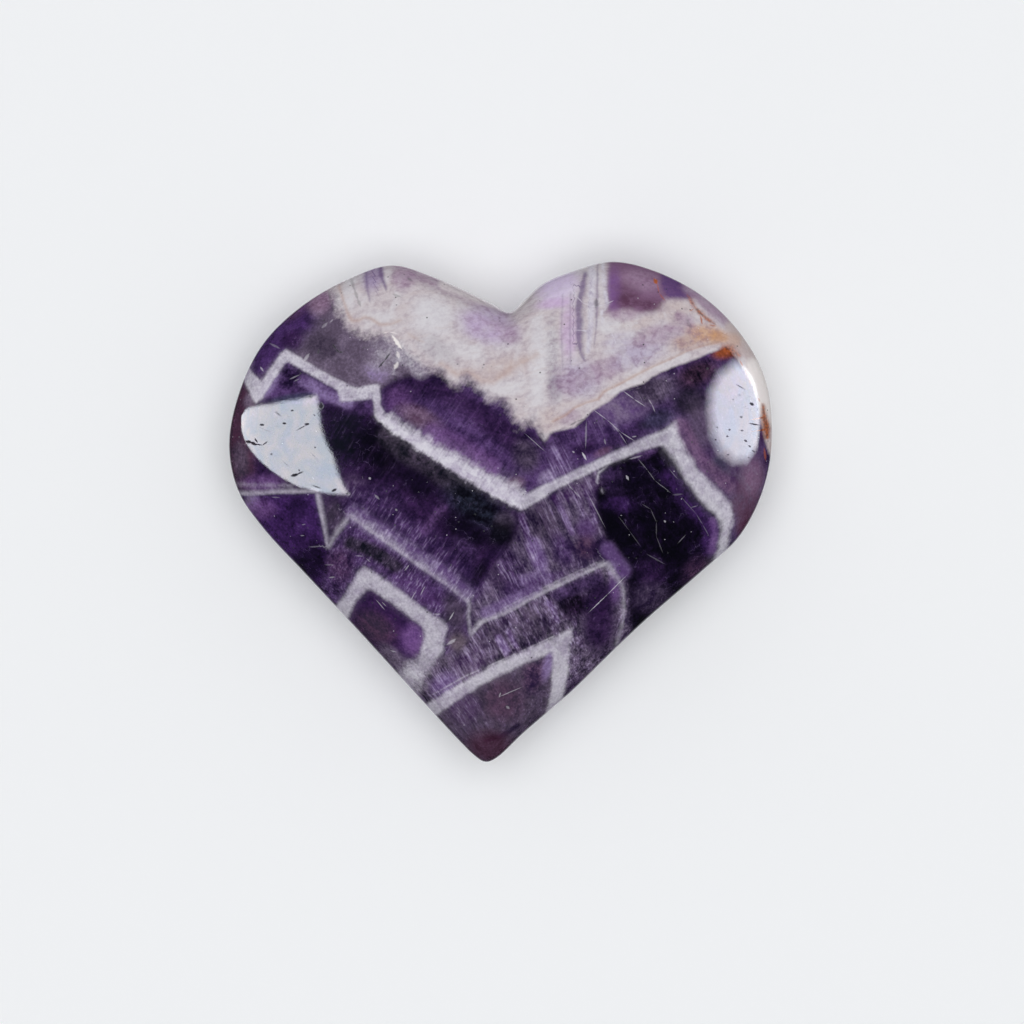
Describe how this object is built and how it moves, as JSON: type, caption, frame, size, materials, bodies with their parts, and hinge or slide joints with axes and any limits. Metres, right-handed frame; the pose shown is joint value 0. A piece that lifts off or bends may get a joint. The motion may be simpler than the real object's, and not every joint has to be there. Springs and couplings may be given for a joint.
{
  "type": "polished heart-shaped stone",
  "caption": "Polished chevron amethyst heart, puffed on both faces, with a cleft between round lobes and a pointed tip, lying on its back.",
  "frame": {"origin": "on the resting face, under the middle of the outline's bounding box", "axes": "+X from the left lobe to the right lobe as the front is seen, +Y from the tip to the cleft, +Z out of the front, away from the resting face"},
  "size_m": [0.076, 0.0699, 0.0242],
  "materials": {
    "banded_amethyst": "hand-polished banded quartz, glossy, deep violet to near black with milky white, lavender and tan zigzag bands"
  },
  "bodies": {
    "root": {"amethyst_heart": "banded_amethyst"}
  },
  "joints": []
}
